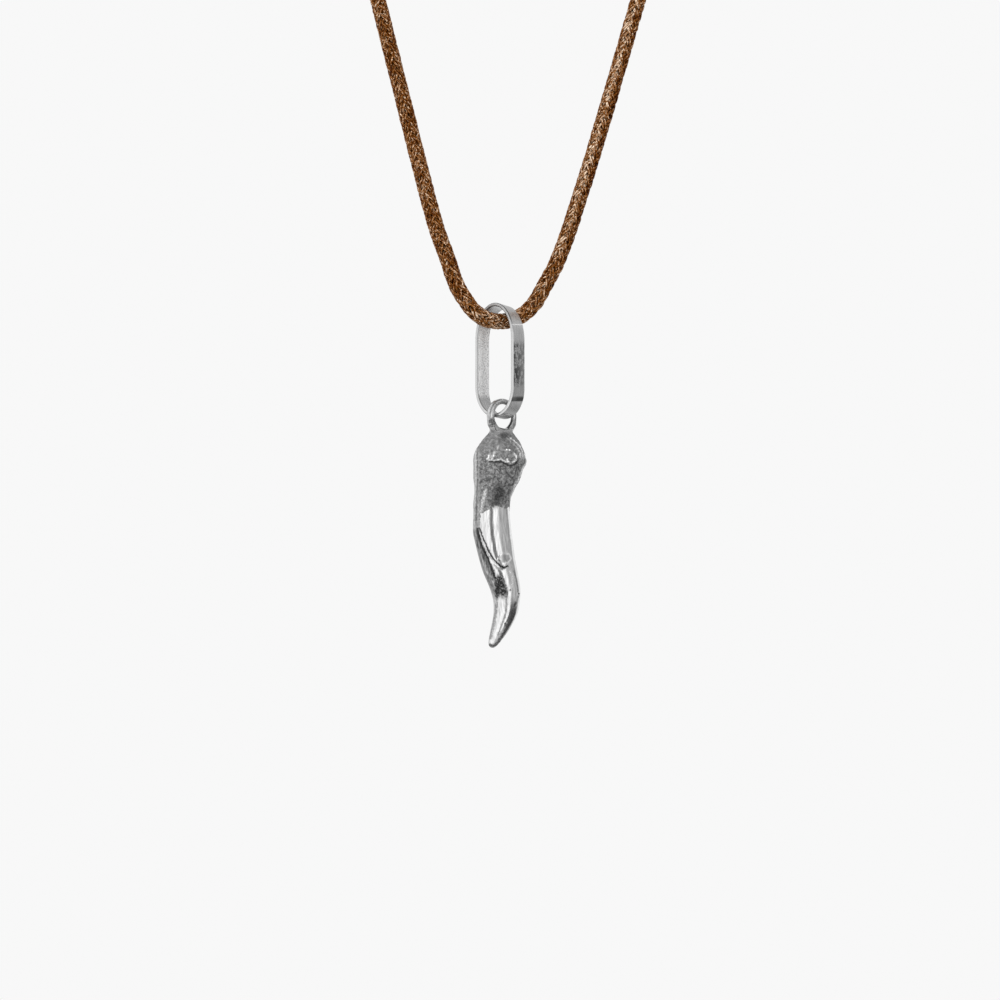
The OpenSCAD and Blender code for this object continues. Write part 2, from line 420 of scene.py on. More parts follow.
def braid_mesh(name, line, low, high, offsets, half_width, step, sides):
    """The braid from low to high along the cord, in one mesh, with its core, which is painted black as
    shade.

    Its points carry how pale their yarn is with its painted light, how far out the yarn lies, and their
    place in the yarn.
    """
    places = np.arange(low, high + step / 2, step)
    turns = turns_of(sides)
    skins, tone, height, in_yarn = [], [], [], []
    for way, index, (yarn, offset) in product((-1, 1), range(STRANDS_A_WAY), enumerate(offsets)):
        middle, out, over = strand_path(line, places, way, index, offset)
        seed = 11 * index + 5 * yarn + YARN_SEEDS[way]
        swell = 1 + uneven(places, SWELL, seed)
        wide, thick = half_width * swell, YARN_T * swell
        middle = middle + out * uneven(places, WAVER, seed)[:, None]
        skins.append((yarn_tube(middle, out, wide, thick, turns), grid_faces(len(places), sides)))
        tone.append(np.repeat(yarn_tone(line, places, out, seed), sides))
        height.append(np.repeat(over, sides))
        across = seed + np.outer(wide, np.cos(turns)).ravel()
        outward = np.outer(thick, np.sin(turns)).ravel()
        in_yarn.append(MM * np.column_stack([np.repeat(places, sides), across, outward]))
    core = core_skin(line, np.arange(low, high + step / 2, CORE_STEPS * step))
    skins.append(core)
    tone.append(np.zeros(len(core[0])))
    # A height of -1 paints the core black: painted shade between the yarns.
    height.append(np.full(len(core[0]), -1.0))
    in_yarn.append(np.zeros_like(core[0]))
    tone, height, in_yarn = (np.concatenate(rows) for rows in (tone, height, in_yarn))
    return make_mesh(name, *joined(skins), tone=tone, height=height, in_yarn=in_yarn)


def cord_material():
    """Waxed brown yarn: each yarn its own brown, fine fibres with a painted sheen in their palest, and
    painted shade where it dips under another.
    """
    material, tree, shader = new_material("braided_yarn")
    height = attribute(tree, "height")
    fibres = grain(tree, 0.065, 2.0, stretch=(0.2, 1, 1), place=attribute(tree, "in_yarn", "Vector"))
    # Each yarn's paleness carries painted light as well.
    share = maths(tree, "MULTIPLY", attribute(tree, "tone"), 0.12)
    share = maths(tree, "ADD", share, maths(tree, "MULTIPLY", fibres, 0.60))
    share = maths(tree, "ADD", share, maths(tree, "MULTIPLY", grain(tree, 0.12), 0.40))
    brown = ramp(tree, share, [
        (0.44, (0.014, 0.001, 0)),
        (0.52, (0.105, 0.023, 0)),
        (0.595, (0.235, 0.086, 0.012)),
        (0.65, (0.44, 0.25, 0.13)),
        # The palest stop is partly the yarns' own pale fibres and partly a painted sheen.
        (0.712, (0.92, 0.74, 0.57)),
    ])
    # Painted shade: darker where a yarn dips under another.
    painted_shade_in_dips = ramp(tree, height, [(0, 0), (0.35, 0.22), (0.75, 0.85), (1, 1)])
    feed_all(tree, shader, {
        "Base Color": mix(tree, 1, brown, painted_shade_in_dips, "MULTIPLY"),
        "Roughness": 0.4,
        "Specular IOR Level": ramp(tree, height, [(0.3, 0), (0.9, 0.05)]),
        "Normal": bump(tree, grain(tree, 0.09), 0.04, 0.9),
    })
    return material


def make_cord():
    """The whole loop: a finer stretch by the charm, and the rest in two coarser pieces."""
    line = cord_line()
    material = cord_material()
    near, far = line["hang"] - FRONT_HALF, line["hang"] + FRONT_HALF
    stretches = {
        "cord_front": (near, far, *TWO_YARNS),
        "cord_left": (0.0, near, *ONE_YARN),
        "cord_right": (far, line["gone"][-1], *ONE_YARN),
    }
    for name, stretch in stretches.items():
        mesh = braid_mesh(name, line, *stretch)
        make_piece(name, mesh, material, "necklace", "cord")


# The bail: an oblong link bent from flat strip, turned about the vertical

BAIL_W = 4.05
BAIL_H = 9.95
STRIP_W = 1.85
STRIP_T = 0.3
BAIL_TURN = math.radians(34)
BAIL_X = 0.17
CROWN_GAP = 0.45  # between the cord and the inside of the crown
CROWN_Z = CORD_D / 2 + CROWN_GAP + STRIP_T
BAIL_MIDDLE = HANG_AT + np.array([BAIL_X, 0, CROWN_Z - BAIL_H / 2])
CROWN_ARCH = 3.0  # height of the half ellipses at the link's two ends
FOOT_ARCH = 2.45
LINE_POINTS = 4000  # before they are evenly spaced
STRIP_LEAN = 0.08  # how much lower the far edge lies for each mm of width
STRIP_ROUND = 0.12  # radius of the strip's rounded corners
BAIL_RINGS = 560
FACE_POINTS = 34
CORNER_POINTS = 4
SPECKLE = 0.014  # relief of the inner face
WAVE = 0.006  # relief of the outer face
SEAM_RISE = 0.03  # height of a whole solder seam
EDGE_WEAR = 0.008  # of the edges, as a share of the width
EDGE_AT = (STRIP_W / 2 - 0.1, STRIP_W / 2 - 0.04)  # from the middle line to the narrow sides
FACE_AT = (0.02, 0.06)  # in or out, where a face begins
RIGHT_AT = (1.0, 1.6)  # across the link, where the face that shows begins

# Marks on the strip, in pixels down the photograph: where each sets in, and where it fades
SEAM_Y = 324.5
SEAM_HALF = 0.6
SEAM = 0.8  # how whole the solder seam is
STREAKS_Y = (339, 347, 382, 391)  # dark streaks
STREAKS_X = (516, 523)  # pixels across, where they weaken
BAND_Y = (394.5, 398.2, 400.7, 401.7)  # the dark band
BAND_X = (514.5, 518)  # pixels across, where it darkens
DIM_Y = (340, 385, 395, 398)  # the face above the band
DIM = 0.26
FOOT_PALE_Y = (400.5, 402.5, 409, 414)  # the pale face below the band
FOOT_PALE = 0.23
FOOT_SHADE_Y = (414.8, 417)  # painted shade on the underside of the foot
FROSTED_Y = (316, 322, 394, 400)  # the frosted part of the inner face
BARE_Y = FROSTED_Y[2:]  # the smooth part below it
CROWN_Y = (316, 334)  # the crown ends, where painted shade runs along the edges
SEAM_FROST_Y = (SEAM_Y - 2, SEAM_Y + 2)  # duller and darker above the seam
SEAM_TARNISH_Y = (SEAM_Y - 1, SEAM_Y + 1)


def link_line():
    """The middle line of the strip in the link's own plane, evenly spaced, and its outward way."""
    half = (BAIL_W - STRIP_T) / 2
    top = (BAIL_H - STRIP_T) / 2
    turns = np.linspace(0, 2 * math.pi, LINE_POINTS, endpoint=False)
    across = half * np.sin(turns)
    rise = np.where(
        np.cos(turns) > 0,
        top - CROWN_ARCH + CROWN_ARCH * np.cos(turns),
        FOOT_ARCH - top + FOOT_ARCH * np.cos(turns),
    )
    line = np.column_stack([across, rise])
    line = np.vstack([line, line[:1]])
    gone = lengths_along(line)
    places = np.arange(BAIL_RINGS) * gone[-1] / BAIL_RINGS
    even = np.column_stack([np.interp(places, gone, line[:, k]) for k in (0, 1)])
    run = unit(np.roll(even, -1, axis=0) - np.roll(even, 1, axis=0))
    return even, np.column_stack([-run[:, 1], run[:, 0]])


def strip_section():
    """Points round the strip: how far back across it, and how far out from its middle."""
    wide = STRIP_W / 2 - STRIP_ROUND
    thick = STRIP_T / 2 - STRIP_ROUND
    faces = np.linspace(-wide, wide, FACE_POINTS)
    bends = np.linspace(0, math.pi / 2, CORNER_POINTS + 2)

    def corner(across, out, first):
        return [
            (across + STRIP_ROUND * math.cos(first - bend), out + STRIP_ROUND * math.sin(first - bend))
            for bend in bends[1:-1]
        ]

    half = [(across, STRIP_T / 2) for across in faces] + corner(wide, thick, math.pi / 2)
    half += [(STRIP_W / 2, thick), (STRIP_W / 2, -thick)] + corner(wide, -thick, 0)
    return np.vstack([half, np.negative(half)])


def bail_mesh():
    """The link, with its solder seam, uneven faces and edges, and marks for its material."""
    line, out = link_line()
    section = strip_section()
    across, lift = np.tile(section, (len(line), 1)).T
    flat = np.repeat(line, len(section), axis=0)
    away = np.repeat(out, len(section), axis=0)
    side_x = np.array([math.cos(BAIL_TURN), -math.sin(BAIL_TURN), 0])
    side_y = np.array([math.sin(BAIL_TURN), math.cos(BAIL_TURN), 0])

    def placed(rise, spread=1.0):
        plane = flat + away * rise[:, None]
        points = BAIL_MIDDLE + plane[:, :1] * side_x + (across * spread)[:, None] * side_y
        points[:, 2] += plane[:, 1] - STRIP_LEAN * across
        return points

    smooth = placed(lift)
    x, y = pixels_of(smooth).T
    edge = ease(*EDGE_AT, np.abs(across))
    outer = ease(*FACE_AT, lift) * (1 - edge)
    inner = ease(*FACE_AT, -lift) * (1 - edge)
    shown = outer * ease(*RIGHT_AT, flat[:, 0])
    seam = SEAM * shown * bell(y - SEAM_Y, SEAM_HALF)
    rise = lift + inner * SPECKLE * noise_at(smooth, 0.16, 3)
    rise += outer * (WAVE * noise_at(smooth, 1.3, 4, 2) + SEAM_RISE * seam)
    points = placed(rise, 1 - EDGE_WEAR * np.abs(noise_at(smooth, 0.7, 5, 2)))

    streaks = shown * between(*STREAKS_Y, y) * (1 - 0.4 * ease(*STREAKS_X, x))
    band = shown * between(*BAND_Y, y) * (0.8 + 0.2 * ease(*BAND_X, x))
    dim = DIM * shown * between(*DIM_Y, y)
    # Painted shade on the foot's underside joins the band and the dimmed face.
    band = np.maximum.reduce([band, dim, (1 - inner) * ease(*FOOT_SHADE_Y, y)])
    crown = 1 - ease(*CROWN_Y, y)
    frosted = inner * between(*FROSTED_Y, y) + FOOT_PALE * shown * between(*FOOT_PALE_Y, y)
    frosted += 0.35 * outer * (1 - ease(*SEAM_FROST_Y, y)) + 0.7 * edge * crown
    # Painted shade: dark lines along the strip's corners and its narrow sides, all round the crown,
    # elsewhere on the left of the outer face and the right of the inner face
    corner = bell(EDGE_AT[1] - np.abs(across), 0.07) * ease(0.05, 0.11, np.abs(lift))
    on_right = ease(-0.6, 0.6, flat[:, 0])
    outlined = np.maximum(np.where(lift > 0, 0.6 * (1 - on_right), 0.5 + 0.5 * on_right), crown)
    on_edge = edge * (0.5 * crown + 0.36 * bell(lift, 0.045) * (1 - crown))
    tarnish = np.maximum(on_edge, corner * outlined)
    tarnish += 0.3 * outer * (1 - ease(*SEAM_TARNISH_Y, y)) + 0.33 * inner * ease(*BARE_Y, y)
    frosted = np.clip(np.maximum(frosted, seam), 0, 1)
    return make_mesh(
        "bail_link", points, grid_faces(len(line), len(section), closed_loop=True), frosted=frosted,
        streaks=streaks, band=band, polished=edge * (1 - crown), seam=seam, tarnish=tarnish,
    )


def strip_material():
    """Rolled silver: fine scratches along it, a frosted inner face, dark streaks, a dark band, and painted
    shade under its foot and along its edges.
    """
    material, tree, shader = new_material("rolled_silver")
    frosted = attribute(tree, "frosted")
    lines = grain(tree, 0.12, stretch=(1, 1, 0.12))
    blots = grain(tree, 0.36, 4.0, stretch=(1, 1, 0.7))
    speckle = grain(tree, 0.14)
    scratched = ramp(tree, lines, [(0.3, 0.74), (0.7, 0.88)])
    pale = ramp(tree, speckle, [(0.36, 0.66), (0.5, 1)])
    # Painted shade along the strip's edges and crown, with the darker parts above the seam and low on the
    # inner face.
    bare = mix(tree, attribute(tree, "tarnish"), mix(tree, frosted, scratched, pale), 0.08)
    bare = mix(tree, attribute(tree, "seam"), bare, 0.98)
    blotted = ramp(tree, blots, [(0.44, 0), (0.53, 1)])
    dotted = ramp(tree, speckle, [(0.48, 0), (0.58, 0.75)])
    streaked = maths(tree, "MULTIPLY", attribute(tree, "streaks"), maths(tree, "MAXIMUM", blotted, dotted))
    # The band also carries the painted shade under the foot.
    dark_share = maths(tree, "MAXIMUM", streaked, attribute(tree, "band"))
    smooth = ramp(tree, lines, [(0.3, 0.2), (0.7, 0.3)])
    feed_all(tree, shader, {
        "Base Color": mix(tree, dark_share, bare, 0.12),
        "Metallic": ramp(tree, frosted, [(0, 1), (1, 0.15)]),
        "Roughness": mix(tree, attribute(tree, "polished"), mix(tree, frosted, smooth, 0.62), 0.07),
        "Normal": bump(tree, lines, 0.008, 0.5),
    })
    return material


# The horn: its sections and fold as in the part's source, its cast skin and its front's marks

HORN_LEN = 20.3
HORN_W = 4.55
HORN_D = 3.9
RING_WIRE = 0.5
RING_PLAY = 0.09
RING_TURN = math.radians(41)
RING_SHIFT = 0.28
FOLD_STEP = 0.2
FOLD_FADE = 38  # degrees
NECK_FLARE = 0.8
FOOT_Z = CROWN_Z - BAIL_H + STRIP_T / 2
SKEW = math.pi / 2 - RING_TURN - BAIL_TURN
HOLE_R = STRIP_W / math.cos(SKEW) / 2 + RING_PLAY
RING_AT = HANG_AT + np.array([
    BAIL_X + RING_SHIFT * math.cos(BAIL_TURN), -RING_SHIFT * math.sin(BAIL_TURN), FOOT_Z
])
RING_AXIS = np.array([math.sin(RING_TURN), -math.cos(RING_TURN), 0])
RING_SIDE = np.array([math.cos(RING_TURN), math.sin(RING_TURN), 0])

# Share of the length, middle across and back, half width, and depth as a share of the width
HORN = [
    [0.04, -0.03, 0, 0.21, 0.62], [0.07, -0.03, 0, 0.24, 0.75], [0.09, -0.04, 0, 0.3, 0.85],
    [0.11, -0.04, 0.01, 0.37, 0.92], [0.14, -0.06, 0.02, 0.44, 0.98], [0.165, -0.06, 0.03, 0.485, 1],
    [0.2, -0.06, 0.04, 0.5, 1], [0.225, -0.08, 0.05, 0.48, 1], [0.265, -0.11, 0.06, 0.45, 1],
    [0.3, -0.14, 0.08, 0.4, 1.02], [0.335, -0.18, 0.09, 0.365, 1.04], [0.37, -0.21, 0.1, 0.35, 1.06],
    [0.42, -0.215, 0.11, 0.35, 1.07], [0.5, -0.205, 0.1, 0.375, 1.07], [0.54, -0.175, 0.09, 0.37, 1.07],
    [0.61, -0.115, 0.07, 0.35, 1.08], [0.675, -0.04, 0.04, 0.33, 1.09], [0.745, 0.05, 0.03, 0.29, 1.1],
    [0.795, 0.075, 0.04, 0.255, 1.12], [0.85, 0.055, 0.07, 0.23, 1.14], [0.92, -0.05, 0.12, 0.18, 1.16],
    [0.97, -0.15, 0.16, 0.12, 1.18], [0.99, -0.185, 0.17, 0.08, 1.18], [1, -0.195, 0.18, 0.03, 1.18],
]
# Share of the length, the lip's angle from the front, and the share of its step there
FOLD = [
    [0, -120, 0], [0.38, -85, 0], [0.43, -67, 0.35], [0.48, -45, 0.8], [0.56, -34, 1], [0.607, -22, 1],
    [0.64, -3, 0.9], [0.665, 15, 0.5], [0.7, 32, 0], [1, 90, 0],
]
FOLD_END = (0.638, 0.664)  # shares of the length over which the lip runs out
SHELL_SIDES = 160
SHELL_RINGS = 340
RING_SEGMENTS = 120
WIRE_SEGMENTS = 28
# How much thicker the wire is towards its foot and its left: the most, and from where to where
WIRE_SWELLS = ((0.1, 0.1, 0.85), (0.08, 0.2, 0.9))
VOXEL = 0.054
# Where the join is smoothed, below the ring's middle, how strongly and how often
NECK_AT = (0.75, 1.15, 2.2, 3)
NECK_SHARE = 0.5
NECK_ROUNDS = 60
SKIN_SHARE = 0.3  # and the whole skin
SKIN_ROUNDS = 2


def horn_shell():
    """The horn's skin from its neck to its tip, hollowed where the ring's hole flares through it."""
    shares = np.linspace(HORN[0][0], 1, SHELL_RINGS)
    mid_x, mid_y, half, round_ = table_at(HORN, shares).T
    lip, step = table_at(FOLD, shares).T
    past = -np.arange(SHELL_SIDES) * 360 / SHELL_SIDES
    angle = np.radians(lip[:, None] + past[None])
    step = np.maximum(step, 0) * (1 - ease(*FOLD_END, shares))
    low = step[:, None] * FOLD_STEP * np.exp((past[None] - 1) / FOLD_FADE)
    half_x = (half * HORN_W)[:, None] - low
    half_y = (half * round_ * HORN_D)[:, None] - low
    points = np.stack([
        (mid_x * HORN_W)[:, None] + half_x * np.sin(angle),
        (mid_y * HORN_W)[:, None] - half_y * np.cos(angle),
        np.broadcast_to(-(shares * HORN_LEN)[:, None], angle.shape),
    ], -1).reshape(-1, 3)
    along = points @ RING_AXIS
    off = points - along[:, None] * RING_AXIS
    radius = np.linalg.norm(off, axis=1)
    hole = HOLE_R + NECK_FLARE * np.abs(along)
    points += off / radius[:, None] * np.maximum(hole - radius, 0)[:, None]
    return points, grid_faces(SHELL_RINGS, SHELL_SIDES)


def ring_tube():
    """The cast ring, its wire thicker outwards towards the neck and on its left."""
    points = []
    for turn in turns_of(RING_SEGMENTS):
        ways = (-math.cos(turn), -math.sin(turn))
        swell = sum(most * ease(low, high, way) for (most, low, high), way in zip(WIRE_SWELLS, ways))
        wire = RING_WIRE / 2 + swell
        out = RING_SIDE * math.sin(turn) + np.array([0, 0, math.cos(turn)])
        middle = out * (HOLE_R + wire)
        for bend in turns_of(WIRE_SEGMENTS):
            points.append(middle + wire * (math.cos(bend) * out + math.sin(bend) * RING_AXIS))
    return np.array(points), grid_faces(RING_SEGMENTS, WIRE_SEGMENTS, closed_loop=True)


def joined_skin(parts):
    """One closed skin round parts that overlap, as a mesh in mm."""
    points, faces = joined(parts)
    rough = bpy.data.meshes.new("rough")
    rough.from_pydata(points.tolist(), [], faces)
    carrier = new_object("rough", rough)
    remesh = carrier.modifiers.new("skin", "REMESH")
    remesh.mode = "VOXEL"
    remesh.voxel_size = VOXEL
    evaluated = carrier.evaluated_get(bpy.context.evaluated_depsgraph_get())
    skin = bpy.data.meshes.new_from_object(evaluated)
    bpy.data.objects.remove(carrier)
    return skin


def read(things, field, width, kind=float):
    """A value of each of a mesh's points or edges, one a row."""
    column = np.empty(len(things) * width, kind)
    things.foreach_get(field, column)
    return column.reshape(-1, width)


def smoothed(mesh, points, share, rounds):
    """Points drawn towards their neighbours' mean, by a share for each, some rounds over."""
    ends = read(mesh.edges, "vertices", 2, int).T
    count = np.bincount(ends.ravel(), minlength=len(points))[:, None]
    for _ in range(rounds):
        total = np.zeros_like(points)
        for here, there in (ends, ends[::-1]):
            for axis in range(3):
                total[:, axis] += np.bincount(here, points[there, axis], len(points))
        points = points + share[:, None] * (total / count - points)
    return points


def line_reach(seen, line):
    """Distance in pixels from points to a bent line, and how far they lie to its right or below."""
    best = np.full(len(seen), 1e9)
    side = np.zeros(len(seen))
    line = np.asarray(line, float)
    for start, end in zip(line[:-1], line[1:]):
        run = end - start
        share = np.clip(((seen - start) @ run) / run.dot(run), 0, 1)
        gap = seen - (start + share[:, None] * run)
        far = np.linalg.norm(gap, axis=1)
        nearer = far < best
        best = np.where(nearer, far, best)
        turned = (gap[:, 1] * run[0] - gap[:, 0] * run[1]) / np.linalg.norm(run)
        side = np.where(nearer, turned, side)
    return best, side


# Marks on the horn's front, in the photograph's pixels
LEDGE = [
    (487.2, 458.6), (490.1, 460.3), (494.7, 460.9), (501, 459.8), (504.5, 461.5), (510.2, 462.9),
    (513.7, 462), (516, 458.9), (515.4, 455.5), (513.7, 453.2),
]
LEDGE_FRONT = LEDGE[:7]  # its lower edge, with a dark undercut
CREASE = [(508.5, 436.5), (511.5, 439), (515.4, 442.2), (519.6, 446.8), (522, 452), (522.6, 458.3)]
HOOKS = [[(488, 459.2), (488.9, 455.6)], [(491.4, 460), (493.6, 455.4)], [(508.6, 462), (507.2, 459.4)]]
CREASE_INSIDE = [(507.5, 438.5), (510.3, 441), (513.8, 444.4), (517.6, 448.8), (519.8, 454), (520.4, 460)]
LEFT_STREAK = [(485.8, 489.5), (484.4, 495.7), (482.4, 501.4), (481.3, 511)]
RIGHT_RIM = [(524.3, 452), (526.2, 461.5), (521.4, 471.5), (514.4, 486.5), (510.6, 498)]
SLANT = [(478.5, 491.5), (485.5, 488.8), (491.8, 485.9), (495.9, 482.5)]
FOLD_LIP = [
    (479.7, 527.6), (481.7, 534.7), (484.8, 542.3), (488.4, 550.5), (493, 558.7), (498.6, 564.3),
    (502.7, 567.3), (507.8, 566.3),
]
FOLD_UNDER = [
    (477.7, 528.6), (479.2, 536.7), (481.7, 545.9), (484.6, 551.4), (490, 563.3), (492.2, 570.4),
    (495.2, 578),
]
# The left border of the hollow under the fold
UNDER_EDGE = [(474.3, 528), (476.4, 545), (483.3, 560), (491, 575), (496.4, 590), (497.5, 604)]
SHORT_CUT = [(498.6, 559.2), (500.8, 562.6)]
# Each line of relief: its points, half width in pixels, height in mm
RELIEF = [
    (LEDGE, 0.9, 0.1), (CREASE, 0.7, 0.05), (CREASE_INSIDE, 0.7, 0.05), (LEFT_STREAK, 1.3, 0.06),
    (SLANT, 0.9, -0.05), (FOLD_LIP, 0.8, -0.05), (FOLD_UNDER, 0.8, -0.05), (SHORT_CUT, 0.8, -0.05),
]
# Each bump or pit: its middle, radii in pixels, height in mm
BUMPS = [
    ((506.4, 450.3), (1, 1), 0.1), ((509.8, 450.3), (1.2, 1.1), 0.12), ((497.8, 447.7), (0.8, 1.6), 0.05),
    ((506.5, 465.6), (1.6, 1), 0.05), ((526.2, 461.8), (2.4, 4), 0.07), ((518.6, 594.3), (1.3, 1.6), -0.08),
    ((501.6, 434.8), (1, 1.2), -0.05), ((502.5, 437.6), (1, 1.2), -0.05),
    ((487.9, 546.2), (0.9, 0.9), -0.05),
]
BRIGHT_BUMPS = 2  # the first two are painted bright, partly wear and partly a painted highlight
# The lower edge of the matte cap, from left to right
CAP_EDGE = [
    (470, 531), (479, 531), (480.5, 514), (483, 512.6), (487.3, 509.7), (490.4, 506.8), (496.5, 505.6),
    (500.6, 506.8), (508.8, 508.5), (513, 509), (530, 509),
]
# Each dark patch: its middle, radii in pixels, how dark
DARK_PATCHES = [
    ((498.8, 492.4), (6.3, 8.6), 0.93), ((494.5, 502.5), (6, 6), 0.7), ((499.3, 581), (4.6, 7), 1),
    ((503.2, 590.5), (4.8, 7.6), 1), ((493.6, 573), (2, 4.5), 0.9), ((496.6, 591.5), (2.4, 9.5), 0.95),
    ((506, 465.2), (4.5, 2), 0.6), ((515, 464), (2.4, 1.8), 0.6), ((504, 435.6), (4.6, 3.4), 0.7),
    ((509.5, 437.2), (1.6, 1.5), 0.6), ((492, 422.8), (4.8, 5.6), 0.78), ((502.2, 567.2), (2.5, 2.3), 1.2),
    ((510.3, 590), (1.5, 1.1), 0.7), ((505.6, 623.8), (1.3, 1.3), 0.8),
]
# Each dark line: its points, half width in pixels, how dark
DARK_LINES = [
    (FOLD_LIP, 1, 1),
    (FOLD_UNDER, 1.4, 1),
    ([(480, 540), (481.8, 549), (484.6, 557), (488, 565.5), (492.6, 574), (495, 580)], 2.4, 0.45),
    (SHORT_CUT, 0.9, 0.8),
    (SLANT, 0.9, 0.5),
    # Painted shadow under the ledge's lower edge
    ([(489.5, 461.9), (501, 461.6), (505.6, 464), (510.2, 466), (514.8, 464.5), (517, 461.2)], 1.2, 1),
    (
        [
            (515.2, 603), (514.4, 609), (512.2, 617.2), (507.8, 626), (503.6, 633.8), (498.4, 641.8),
            (494, 646), (490.2, 644.8),
        ],
        1.7, 0.85,
    ),
    ([(506.8, 599.5), (506.2, 611), (503.9, 619.6), (500.5, 628), (497.6, 635)], 0.8, 0.5),
    ([(497, 598), (496.2, 612), (493.8, 625), (490.6, 638)], 1.6, 0.6),
    ([(477.4, 452), (477.8, 480), (476.8, 500), (476.4, 520)], 0.8, 0.7),
    ([(480.2, 466), (480.9, 490), (479.4, 510)], 0.6, 0.3),
    ([(514, 571), (516.2, 579), (517.8, 588), (518.5, 597)], 0.7, 0.6),
    # Painted shade: the dark outlines along both edges of the ring's left limb
    ([(501.5, 398.6), (496.3, 401.3), (491.9, 406.3), (489.2, 413.8), (488.8, 420), (490.4, 425)], 0.7, 0.7),
    ([(506, 404), (500.6, 405.2), (497.4, 409.4), (496.4, 413.8), (496.2, 418), (495.2, 423.8)], 0.5, 0.8),
    ([(516.6, 417), (515.4, 424), (512.3, 429.4)], 0.7, 0.5),
    ([(506.9, 510), (507.4, 516), (509.5, 536), (511.2, 549)], 0.6, 0.25),
]
WHOLE_LINE = 0.9  # weaker ones are broken by the pits
# Each line painted bright, partly rubbed wear and partly a painted highlight: its points, half width in
# pixels, how bright
WEAR_AND_HIGHLIGHT_LINES = [
    # The ledge and its hooks: rubbed high spots, painted bright as highlights
    *[(line, 0.8, 1) for line in (LEDGE, *HOOKS)],
    (CREASE, 0.7, 0.75),
    (CREASE_INSIDE, 0.7, 0.25),
    (CREASE_INSIDE[3:], 0.9, 0.6),
    # Painted highlights: light on the cap's left side and along its right rim
    (LEFT_STREAK, 1.5, 0.55),
    (RIGHT_RIM, 1, 0.8),
    ([(475.6, 448), (475.6, 480), (474.6, 505), (474.2, 530)], 0.9, 0.5),
    ([(505.2, 464.8), (507.4, 466.3), (509.3, 466)], 0.7, 0.6),
    ([(511.2, 465.2), (513.6, 463.4)], 0.7, 0.6),
    ([(491.5, 457), (494.6, 452.6)], 1.5, 0.4),
    ([(497.2, 449.2), (498.4, 446.4)], 0.8, 0.4),
    ([(509.3, 570.5), (511.4, 574), (512.4, 580), (512.2, 587)], 1.1, 0.5),
    ([(509.2, 509), (509.8, 516), (511.9, 536), (513.6, 550)], 0.8, 0.7),
    # Painted highlight along the ring's left limb
    ([(495.2, 405.5), (493.4, 409), (492.7, 412.5), (491.6, 416.5)], 1.3, 1),
]
MARK_WOBBLE = 0.8  # pixels by which the marks' lines waver
FRONT_AT = (-0.15, 0.15)  # how far back the skin faces, where the front ends
SHOULDER_X = 524  # right of it the bumps go round the side

# Shares of the length below the ring's middle where the ring and the neck end
RING_END = (0.05, 0.08)
NECK_END = (0.06, 0.1)
RING_CAST = 0.05  # how matte the ring is
RING_DARK = 0.3  # and how dark in its pits
CAP_BEHIND_Y = 512  # where the cap ends on the side that doesn't show
CAP_BEHIND_WAVE = 12  # how far that edge strays
CAP_EDGE_JITTER = 2.0  # how ragged the whole edge is
CAP_EDGE_HALF = 0.8  # half width of the step to bright
MOTTLED_Y = (446, 468)  # where the cap's mottling sets in
WRINKLED_Y = (450, 470)  # where its wrinkles set in
WRINKLE_W = 0.1
# The cap's left flank, made less matte so that it shows painted light from the left
FLANK_X = (476.5, 481)
FLANK_Y = (445, 458)
FLANK_DARK_Y = (480, 515)  # where it darkens
# The hollow under the fold
UNDER_Y = (520, 532, 585, 605)
UNDER_SOFT = (-0.5, 0.5)
UNDER_EDGE_SOFT = (-0.7, 0.7)
# The small facet at the fold's end
FACET_AT = (505.2, 558.2)
FACET_R = (5.6, 4.8)
FACET_RIM_W = 0.25  # as a share of its size
# Relief, in mm
CAST_SKIN = 0.02  # over the polished body
CAST_LUMPS = 0.035
CAST_PITS = 0.014
WRINKLE_DEPTH = 0.025
BODY_WAVES = 0.006
HOLLOW_DEPTH = 0.02
FACET_DEPTH = 0.02
FACET_RIM_H = 0.012
UNDERCUT = 0.06  # below the ledge
UNDERCUT_REACH = 4  # in pixels
# Noise over the horn: the size of its lumps in mm, seed and octaves
JITTER_NOISE = (0.24, 11, 3)
LUMP_NOISE = (0.55, 12, 3)
PIT_NOISE = (0.14, 13, 2)
WAVE_NOISE = (1.2, 14, 2)
WOBBLE_NOISES = ((0.22, 15, 2), (0.22, 16, 2))
WRINKLE_NOISE = (0.5, 17, 2)
BEHIND_NOISE = (1.3, 18, 3)


def patches(seen, marks):
    """How much of each soft round mark lies on points in pixels, added up."""
    total = np.zeros(len(seen))
    for (x, y), (wide, high), strength in marks:
        far = ((seen[:, 0] - x) / wide) ** 2 + ((seen[:, 1] - y) / high) ** 2
        total += strength * bell(far)
    return total


def horn_skin():
    """The smoothed skin of horn and ring, and its points and normals where it hangs."""
    mesh = joined_skin([horn_shell(), ring_tube()])
    points = read(mesh.vertices, "co", 3)
    points = smoothed(mesh, points, NECK_SHARE * between(*NECK_AT, -points[:, 2]), NECK_ROUNDS)
    points = smoothed(mesh, points, np.full(len(points), SKIN_SHARE), SKIN_ROUNDS)
    mesh.vertices.foreach_set("co", points.ravel())
    mesh.update()
    return mesh, read(mesh.vertices, "co", 3) + RING_AT, read(mesh.vertex_normals, "vector", 3)


